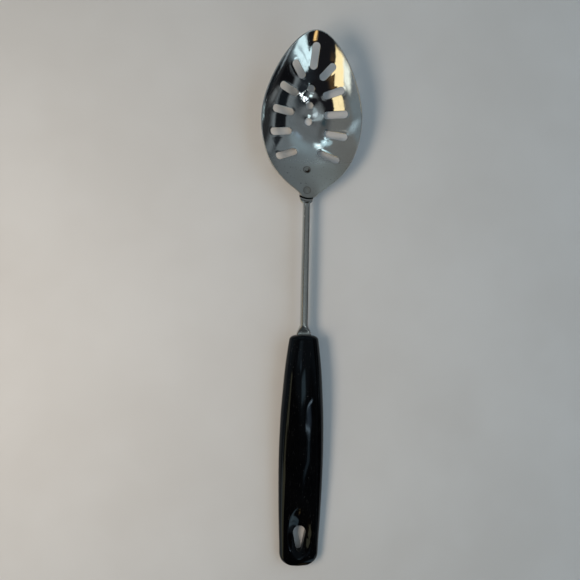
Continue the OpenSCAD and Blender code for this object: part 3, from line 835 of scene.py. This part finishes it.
def handle_grip():
    """The moulded handle: one skin with its dish and the rounded hang hole."""
    across, along = skin_rows()
    rear = np.column_stack([across, 0 * across])
    right = np.column_stack([np.full(len(along) - 2, ACROSS), along[1:-1]])
    edge = np.concatenate([rear, right, (rear + (0, SKIN_L))[::-1], (right * (-1, 1))[::-1]])
    plan, outs = hang_loop(0)
    hole = hang_on_skin(HANG_ROUND)
    rings = np.concatenate([hang_on_skin(HANG_ROUND + more, RING_TURNS) for more in HANG_ROWS])
    u, v = np.meshgrid(across[1:-1], along[1:-1])
    grid = np.column_stack([u.ravel(), v.ravel()])
    grid = clear_of(grid[~inside(hole, grid)], rings, HANG_CLEAR)
    points, faces, spans = plan_mesh(edge, [hole], np.concatenate([rings, grid]), HANDLE_CLEAR)
    skin = Skin()
    sides = []
    for low in (False, True):
        p, n = handle_skin(*points.T, low), handle_face(*points.T, low)
        numbers = skin.add(p, n)
        skin.faces += [tuple(numbers[f]) for f in faces]
        sides.append((numbers[spans[1]], p[spans[1]], n[spans[1]]))
    hang_wall(skin, sides, plan, outs)
    return skin.build("handle_grip")


# Materials

class Flow:
    """A shader value that can be used in arithmetic."""

    def __init__(self, maker, socket):
        self.maker, self.socket = maker, socket

    def maths(self, operation, *values):
        return self.maker.add("ShaderNodeMath", {"operation": operation}, dict(enumerate(values)))

    def __add__(self, other):
        return self.maths("ADD", self, other)

    __radd__ = __add__

    def __sub__(self, other):
        return self.maths("SUBTRACT", self, other)

    def __rsub__(self, other):
        return self.maths("SUBTRACT", other, self)

    def __mul__(self, other):
        return self.maths("MULTIPLY", self, other)

    __rmul__ = __mul__

    def __truediv__(self, other):
        return self.maths("DIVIDE", self, other)

    def __rtruediv__(self, other):
        return self.maths("DIVIDE", other, self)

    def __pow__(self, other):
        return self.maths("POWER", self, other)

    def __rpow__(self, other):
        return self.maths("POWER", other, self)

    def __abs__(self):
        return self.maths("ABSOLUTE", self)

    def span(self, low, high, a=0.0, b=1.0):
        """Smooth change from a to b as the value goes from low to high."""
        return self.maker.add("ShaderNodeMapRange", {"interpolation_type": "SMOOTHSTEP"}, {
            "Value": self, "From Min": low, "From Max": high, "To Min": a, "To Max": b})


class Maker:
    """Builds one shader tree."""

    def __init__(self, tree):
        self.tree = tree
        tree.nodes.clear()

    def add(self, kind, settings=None, sockets=None, out=0):
        """Adds a node: its settings first, then its sockets' values or links."""
        node = self.tree.nodes.new(kind)
        for key, value in (settings or {}).items():
            setattr(node, key, value)
        for key, value in (sockets or {}).items():
            if isinstance(value, Flow):
                self.tree.links.new(value.socket, node.inputs[key])
            else:
                node.inputs[key].default_value = value
        return Flow(self, node.outputs[out]) if len(node.outputs) else None

    def place_mm(self):
        """The surface point in millimetres, in the part's frame."""
        here = self.add("ShaderNodeTexCoord", out="Object")
        return self.add("ShaderNodeVectorMath", {"operation": "SCALE"}, {0: here, "Scale": 1 / MM})

    def dot(self, vector, direction):
        """How far the vector goes along a direction."""
        return self.add("ShaderNodeVectorMath", {"operation": "DOT_PRODUCT"},
                        {0: vector, 1: tuple(direction)}, out=1)

    def part(self, vector, axis):
        return self.add("ShaderNodeSeparateXYZ", sockets={0: vector}, out=axis)

    def noise(self, vector, scale, detail=3.0, rough=0.55):
        return self.add("ShaderNodeTexNoise", sockets={
            "Vector": vector, "Scale": scale, "Detail": detail, "Roughness": rough})

    def stretched(self, vector, sizes, turn=0.0):
        """The vector turned about Z and scaled apart along its axes."""
        return self.add("ShaderNodeMapping", sockets={
            "Vector": vector, "Rotation": (0, 0, turn), "Scale": sizes})

    def mix(self, factor, a, b):
        """A colour between a and b."""
        return self.add("ShaderNodeMix", {"data_type": "RGBA"}, {0: factor, 6: a, 7: b}, out=2)

    def bump(self, height, strength, distance=0.05):
        return self.add("ShaderNodeBump", sockets={
            "Height": height, "Strength": strength, "Distance": distance * MM})


def material(name, dress, **fixed):
    """A material whose shader dress fills in. Fixed values go on the shader's own sockets."""
    made = bpy.data.materials.new(name)
    made.use_nodes = True
    m = Maker(made.node_tree)
    plain = {key.replace("_", " "): value for key, value in fixed.items()}
    shader = m.add("ShaderNodeBsdfPrincipled", sockets={**plain, **dress(m)})
    m.add("ShaderNodeOutputMaterial", sockets={0: shader})
    return made


def rgb(r, g, b):
    return (r, g, b, 1.0)


# Places in millimetres at which a finish or a painted shade changes, the painted shade line's
# squared reach, and a scratch's form
WORN_TO, CLEAR_FROM, SIDE_REACH = TAIL_Y + 14.2, TAIL_Y + 28.2, 12.0
SEAM_SHADE_BACK, SEAM_SHADE_FRONT = (-0.95, -0.55), (0.2, 0.5)
LEDGE_SHADE_BACK, LEDGE_SHADE_SQUARES, WELD_RING = 1.75, (0.015, 0.07), (1.55, 1.9)
CUP_PLACE, CUP_ROUND, BARE_PLACE, BARE_ROUND = (0.25, -0.35), (1.1, 1.6), (-0.15, 0.45), (0.8, 1.3)
SCRATCH_THIN, SCRATCH_EDGE = 0.03, 0.06


def scratches(m, here, turn, fine, cut):
    """Thin straight scratches: narrow crests of a long drawn noise."""
    drawn = m.stretched(here, (fine, fine * SCRATCH_THIN, fine), turn)
    return m.noise(drawn, 1.0, 2.0, 0.6).span(cut, cut + SCRATCH_EDGE)


def polished(m):
    """Bright plated sheet: clear in the bowl, duller and speckled at the tail."""
    here = m.place_mm()
    tail = m.part(here, 1).span(WORN_TO, CLEAR_FROM, 1.0, 0.0)
    cloud = m.noise(here, 0.09, 4.0)
    speck = m.noise(here, 1.6, 2.0, 0.7).span(0.58, 0.72)
    pit = m.noise(here, 1.1, 1.0, 0.4).span(0.70, 0.76)
    lines = scratches(m, here, 0.35, 1.3, 0.66) + scratches(m, here, -0.8, 1.1, 0.68)
    lines = lines + scratches(m, here, 1.3, 0.9, 0.68)
    rough = 0.035 + cloud * 0.05 + lines * 0.10 + tail * (0.26 + cloud * 0.12 + speck * 0.12)
    tone = m.mix(cloud.span(0.35, 0.7), rgb(0.63, 0.65, 0.66), rgb(0.56, 0.575, 0.58))
    across = m.part(here, 0).span(-SIDE_REACH, SIDE_REACH)
    worn = m.mix(across, rgb(0.37, 0.355, 0.34), rgb(0.36, 0.34, 0.31))
    tone = m.mix(tail * (0.55 + speck * 0.35), tone, worn)
    tone = m.mix(tail * pit * 0.8, tone, rgb(0.12, 0.11, 0.10))
    grain = m.noise(here, 0.35, 3.0) + m.noise(here, 3.2, 2.0) * tail * 0.12 + lines * 0.05
    return {"Base Color": tone, "Roughness": rough, "Normal": m.bump(grain, 0.25, 0.1)}


def rod_steel(m):
    """Drawn and plated rod with fine lines along it, and painted shade in the seam under the bowl's
    tail and in a line near the shoulder.
    """
    here = m.place_mm()
    x, y = m.part(here, 0), m.part(here, 1)
    drawn = m.noise(m.stretched(here, (1.6, 0.03, 1.6)), 1.0, 4.0, 0.6)
    cloud = m.noise(here, 0.2, 3.0)
    tone = m.mix(drawn.span(0.3, 0.7), rgb(0.60, 0.60, 0.59), rgb(0.46, 0.46, 0.455))
    off = (x - BOWL_SHIFT) / (TAIL_W / 2)
    # Painted shade: a near-black band on the tongue along the bowl's tail edge, where the sheet's
    # edge shades it
    past = y - TAIL_Y + (1 - off * off) * TAIL_BULGE
    seam_shade = past.span(*SEAM_SHADE_BACK) * past.span(*SEAM_SHADE_FRONT, 1.0, 0.0)
    # Painted shade: a thin near-black line across the tongue near its shoulder, where the step
    # shades it
    ledge_shade_sq = (past + LEDGE_SHADE_BACK) * (past + LEDGE_SHADE_BACK)
    seam_shade = seam_shade + ledge_shade_sq.span(*LEDGE_SHADE_SQUARES, 0.75, 0.0)
    # Both painted shades turn the rod near black here
    tone = m.mix(seam_shade, tone, rgb(0.018, 0.019, 0.021))
    return {"Base Color": tone, "Roughness": 0.14 + drawn * 0.12 + cloud * 0.08 + seam_shade * 0.4,
            "Normal": m.bump(drawn + m.noise(here, 2.5) * 0.2, 0.3, 0.05)}


def apart(x, y, at):
    """Distance in plan from a fixed place."""
    return ((x - at[0]) * (x - at[0]) + (y - at[1]) * (y - at[1])) ** 0.5


def weld_steel(centre, burn):
    """Dresser for a spot weld round its centre. burn tells how much the heat stained it."""

    def dress(m):
        here = m.place_mm()
        x, y = m.part(here, 0) - centre[0], m.part(here, 1) - centre[1]
        stain = m.noise(here, 0.9, 4.0, 0.65)
        grit = m.noise(here, 4.0, 2.0)
        ring = apart(x, y, (0, 0)).span(*WELD_RING)
        cup = apart(x, y, CUP_PLACE).span(*CUP_ROUND, 1.0, 0.0)
        cup = cup * apart(x, y, BARE_PLACE).span(*BARE_ROUND)
        tone = m.mix(stain.span(0.35, 0.65), rgb(0.37, 0.36, 0.34), rgb(0.44, 0.44, 0.43))
        tone = m.mix(ring * (0.45 + 0.3 * burn), tone, rgb(0.16, 0.15, 0.14))
        tone = m.mix(cup * burn, tone, rgb(0.05, 0.032, 0.024))
        return {"Base Color": tone, "Roughness": 0.30 + stain * 0.2,
                "Normal": m.bump(stain * 0.6 + grit * 0.3 - ring - cup * burn, 0.6, 0.12)}

    return dress


def gloss_plastic(m):
    """Glossy black moulding with faint rubbing, hairlines and a little dust."""
    here = m.place_mm()
    rub = m.noise(here, 0.08, 4.0)
    lines = scratches(m, here, 0.15, 1.2, 0.68) + scratches(m, here, -0.6, 0.9, 0.7)
    dust = m.noise(here, 2.1, 1.0).span(0.73, 0.78)
    tone = m.mix(rub.span(0.4, 0.75), rgb(0.0008, 0.0008, 0.0010), rgb(0.0016, 0.0016, 0.0018))
    tone = m.mix(dust * 0.25 + lines * 0.05, tone, rgb(0.22, 0.22, 0.21))
    return {"Base Color": tone, "Roughness": 0.03 + rub * 0.05 + lines * 0.08 + dust * 0.3,
            "Normal": m.bump(rub * 0.6 + lines * 0.03 + m.noise(here, 0.7) * 0.02, 0.15, 0.1)}


def pale_floor(m):
    """Plain pale matt surface."""
    here = m.place_mm()
    broad = m.noise(here, 0.012, 3.0)
    fine = m.noise(here, 0.9, 3.0)
    tone = m.mix(broad.span(0.3, 0.7), rgb(0.60, 0.60, 0.60), rgb(0.565, 0.56, 0.555))
    return {"Base Color": tone, "Roughness": 0.62 + fine * 0.12,
            "Normal": m.bump(fine, 0.12, 0.05)}


# Surroundings

def bearing(azimuth, elevation):
    """Direction at an azimuth from +Y, positive to the right, and an elevation, in degrees."""
    a, e = math.radians(azimuth), math.radians(elevation)
    return np.array([math.sin(a) * math.cos(e), math.cos(a) * math.cos(e), math.sin(e)])


# In metres the spoon's middle, the floor's reach and its drop under it, and its tiles
MIDDLE, FLOOR_REACH, FLOOR_DROP, FLOOR_TILES = (0, 0.14, 0), 2.5, 0.00005, 12
BACKDROP = rgb(0.42, 0.44, 0.45)
# The camera's place in millimetres, the directions of its right side and its top, and its lens
EYE, EYE_RIGHT, EYE_UP = (-46.3, 136.4, 340.9), (0.9934, 0.0201, 0.1132), (-0.0199, 0.9998, -0.0023)
SENSOR, FOCAL_PIXELS, PHOTO_PIXELS = 36.0, 601, 580
# Name, azimuth and elevation in degrees, distance and size in metres, power, colour
LAMPS = [
    ("key_lamp", -101, 48, 0.43, (0.23, 0.13), 1.04, (1.0, 0.86, 0.73)),
    ("fill_lamp", 86, 38, 0.83, (1.1, 0.8), 2.6, (0.57, 0.78, 1.0)),
    ("top_lamp", -90, 78, 1.0, (0.3, 0.3), 0.35, (0.9, 0.95, 1.0)),
]
# Azimuth, elevation, half width, half height and lean in degrees, softness, colour
PATCHES = [
    (-75, 40, 40, 24, 0, 0.5, (0.19, 0.195, 0.185)),
    (-75, 70, 30, 9, 0, 0.6, (0.11, 0.115, 0.115)),
    (-88, 18, 18, 8, 0, 0.4, (0.20, 0.24, 0.255)),
    (-72, 73, 5, 4.5, 0, 0.6, (0.055, 0.080, 0.090)),
    (41, 53, 6, 3.5, 0, 0.8, (0.30, 0.39, 0.46)),
    (95, 2, 36, 13, 0, 0.4, (0.030, 0.031, 0.032)),
    (100, 9, 6, 3, 20, 0.8, (0.17, 0.18, 0.18)),
    (30, 47, 18, 5, 0, 0.9, (0.26, 0.33, 0.355)),
    (-150, 42, 36, 32, 0, 0.12, (0.012, 0.012, 0.014)),
    (162, 30, 16, 28, 0, 0.15, (0.012, 0.012, 0.014)),
    (138, 58, 17, 11, 0, 0.5, (0.020, 0.025, 0.030)),
    (-134, 36, 5, 11, -20, 0.9, (0.15, 0.09, 0.04)),
    (84, 30, 8, 10, 0, 0.2, (0.010, 0.011, 0.013)),
    (100, 27, 7, 9, 0, 0.3, (0.010, 0.013, 0.016)),
    (112, 20, 7, 17, -10, 0.3, (0.006, 0.006, 0.007)),
    (66, 26, 7, 6, -25, 0.3, (0.020, 0.024, 0.028)),
    (-124.5, 24, 7.2, 16, -27, 0.10, (1.65, 1.30, 0.70)),
    (-106, 43, 6.7, 9.3, 16, 0.10, (1.60, 1.30, 0.72)),
    (-117.5, 14, 4.2, 9, -36, 0.5, (1.35, 1.40, 1.22)),
    (131, 13, 6, 13, -33, 0.7, (0.36, 0.46, 0.50)),
    (141, 24, 6.4, 25, -33, 0.15, (1.10, 1.42, 1.48)),
    (136.5, 20, 0.8, 15, -33, 0.9, (0.50, 0.64, 0.70)),
    (144.5, 30, 0.6, 14, -33, 0.9, (0.62, 0.80, 0.84)),
    (168.5, 26, 3.4, 2.4, 0, 0.8, (1.6, 1.0, 0.38)),
    (152, 76, 4.2, 4.2, 10, 0.4, (1.30, 1.60, 1.60)),
    (-100, 83, 3.0, 6, 0, 0.7, (0.42, 0.50, 0.52)),
    (148, 61.5, 5, 0.8, 0, 0.5, (0.60, 0.75, 0.80)),
    (-79.5, 25, 2.6, 8, -40, 0.9, (0.46, 0.58, 0.63)),
    (-66, 45, 2, 11, -20, 0.5, (0.95, 0.93, 0.85)),
    (-21, 53, 4.5, 2.8, 0, 0.6, (0.90, 1.25, 1.35)),
    (-4, 50.5, 5, 2.4, 0, 0.6, (1.15, 1.45, 1.50)),
    (-30, 50, 5, 1.5, 0, 0.8, (0.55, 0.75, 0.80)),
    (-21, 53.5, 2.2, 0.6, 0, 0.6, (2.0, 2.3, 2.3)),
    (-4, 51, 2.6, 0.6, 0, 0.6, (2.0, 2.3, 2.3)),
    (130, 62.3, 0.24, 4.2, -53, 0.6, (14.0, 15.0, 15.0)),
    (141.5, 63, 0.24, 3.2, -50, 0.6, (12.0, 13.0, 13.0)),
    (135.5, 62.5, 1.1, 3.4, -52, 0.5, (0.9, 1.05, 1.2)),
    (-150, 84, 2.4, 2.0, 0, 0.6, (0.85, 1.00, 1.05)),
]


def patch_mask(m, ray, patch):
    """1 inside a rectangle of directions and 0 outside, with soft sides."""
    azimuth, elevation, half_w, half_h, lean, soft = patch[:6]
    centre = bearing(azimuth, elevation)
    side = unit(np.cross(centre, (0, 0, 1)))
    up = np.cross(side, centre)
    c, s = math.cos(math.radians(lean)), math.sin(math.radians(lean))
    side, up = side * c + up * s, up * c - side * s
    ahead = m.dot(ray, centre)
    mask = ahead.span(0.0, 0.05)
    for axis, half in ((side, half_w), (up, half_h)):
        off = abs(m.dot(ray, axis) / ahead / math.tan(math.radians(half)))
        mask = mask * off.span(1.0 - soft, 1.0 + soft, 1.0, 0.0)
    return mask


def surroundings():
    """A dim room with a window, lamps and dark shapes, told apart by direction alone.

    The camera itself sees a plain backdrop, so the room shows only in reflections.
    """
    world = bpy.data.worlds.new("room")
    world.use_nodes = True
    m = Maker(world.node_tree)
    ray = m.add("ShaderNodeTexCoord", out="Generated")
    cloud = m.noise(ray, 2.4, 3.0)
    tone = m.mix(cloud.span(0.3, 0.7), rgb(0.165, 0.19, 0.20), rgb(0.225, 0.25, 0.26))
    tone = m.mix(m.part(ray, 2).span(0.75, 0.97), tone, rgb(0.17, 0.185, 0.19))
    for patch in PATCHES:
        tone = m.mix(patch_mask(m, ray, patch), tone, rgb(*patch[6]))
    seen = m.add("ShaderNodeLightPath", out="Is Camera Ray")
    glow = m.add("ShaderNodeBackground", sockets={0: m.mix(seen, tone, BACKDROP)})
    m.add("ShaderNodeOutputWorld", sockets={0: glow})
    bpy.context.scene.world = world


def soft_light(name, azimuth, elevation, distance, size, power, colour):
    """A rectangular lamp aimed at the middle of the spoon. It shows in no reflection."""
    lamp = bpy.data.lights.new(name, "AREA")
    lamp.shape, lamp.size, lamp.size_y = "RECTANGLE", size[0], size[1]
    lamp.energy, lamp.color = power, colour
    holder = bpy.data.objects.new(name, lamp)
    target = Vector(MIDDLE)
    holder.location = target + Vector(bearing(azimuth, elevation)) * distance
    holder.rotation_euler = (target - holder.location).to_track_quat("-Z", "Y").to_euler()
    holder.visible_glossy = False
    holder.visible_camera = False
    show(holder)


def lights():
    for lamp in LAMPS:
        soft_light(*lamp)


def camera():
    """Placed as the photograph was taken: almost overhead, rolled a little with the spoon."""
    lens = bpy.data.cameras.new("view")
    lens.sensor_width, lens.lens = SENSOR, SENSOR * FOCAL_PIXELS / PHOTO_PIXELS
    holder = bpy.data.objects.new("view", lens)
    right = Vector(EYE_RIGHT)
    back = right.cross(Vector(EYE_UP)).normalized()
    up = back.cross(right.normalized())
    turn = Matrix((right.normalized(), up, back)).transposed().to_4x4()
    holder.matrix_world = Matrix.Translation(Vector(EYE) * MM) @ turn
    bpy.context.scene.camera = show(holder)


def floor_sheet():
    """The table: a plain sheet just under the spoon."""
    mesh = bpy.data.meshes.new("floor")
    at = np.linspace(-FLOOR_REACH, FLOOR_REACH, FLOOR_TILES + 1)
    points = [(x, y + MIDDLE[1], -FLOOR_DROP) for y in at for x in at]
    row = FLOOR_TILES + 1
    corners = [j * row + i for j in range(FLOOR_TILES) for i in range(FLOOR_TILES)]
    faces = [(k, k + 1, k + row + 1, k + row) for k in corners]
    mesh.from_pydata(points, [], faces)
    mesh.materials.append(material("pale_floor", pale_floor))
    show(bpy.data.objects.new("floor", mesh))


def dress_part():
    """Makes the visible pieces, gives each its finish, hangs it on the root body and hides the node
    it stands for.
    """
    steel = material("polished_sheet", polished, Metallic=1.0)
    rod = material("drawn_rod", rod_steel, Metallic=1.0)
    spots = [place(WELDS[name][0]) for name in ("front_weld", "rear_weld")]
    burnt = material("burnt_weld", weld_steel(spots[0], 1.0), Metallic=1.0)
    clean = material("clean_weld", weld_steel(spots[1], 0.0), Metallic=1.0)
    black = material("black_moulding", gloss_plastic, IOR=1.5, Specular_IOR_Level=0.22,
                     Specular_Tint=rgb(0.64, 0.81, 1.0))
    pieces = [
        (bowl_sheet(), "bowl", "bowl_steel", steel),
        (shank(), "shank", "shank_steel", rod),
        (weld_spot("front_weld_spot", WELDS["front_weld"]), "front_weld", "weld_steel", burnt),
        (weld_spot("rear_weld_spot", WELDS["rear_weld"]), "rear_weld", "weld_steel", clean),
        (handle_grip(), "handle", "handle_plastic", black),
    ]
    for piece, node, slot, finish in pieces:
        piece.data.materials.clear()
        piece.data.materials.append(finish)
        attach(piece, "root")
        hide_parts(node)


bpy.context.scene.view_settings.view_transform = "Standard"
dress_part()
floor_sheet()
surroundings()
lights()
camera()
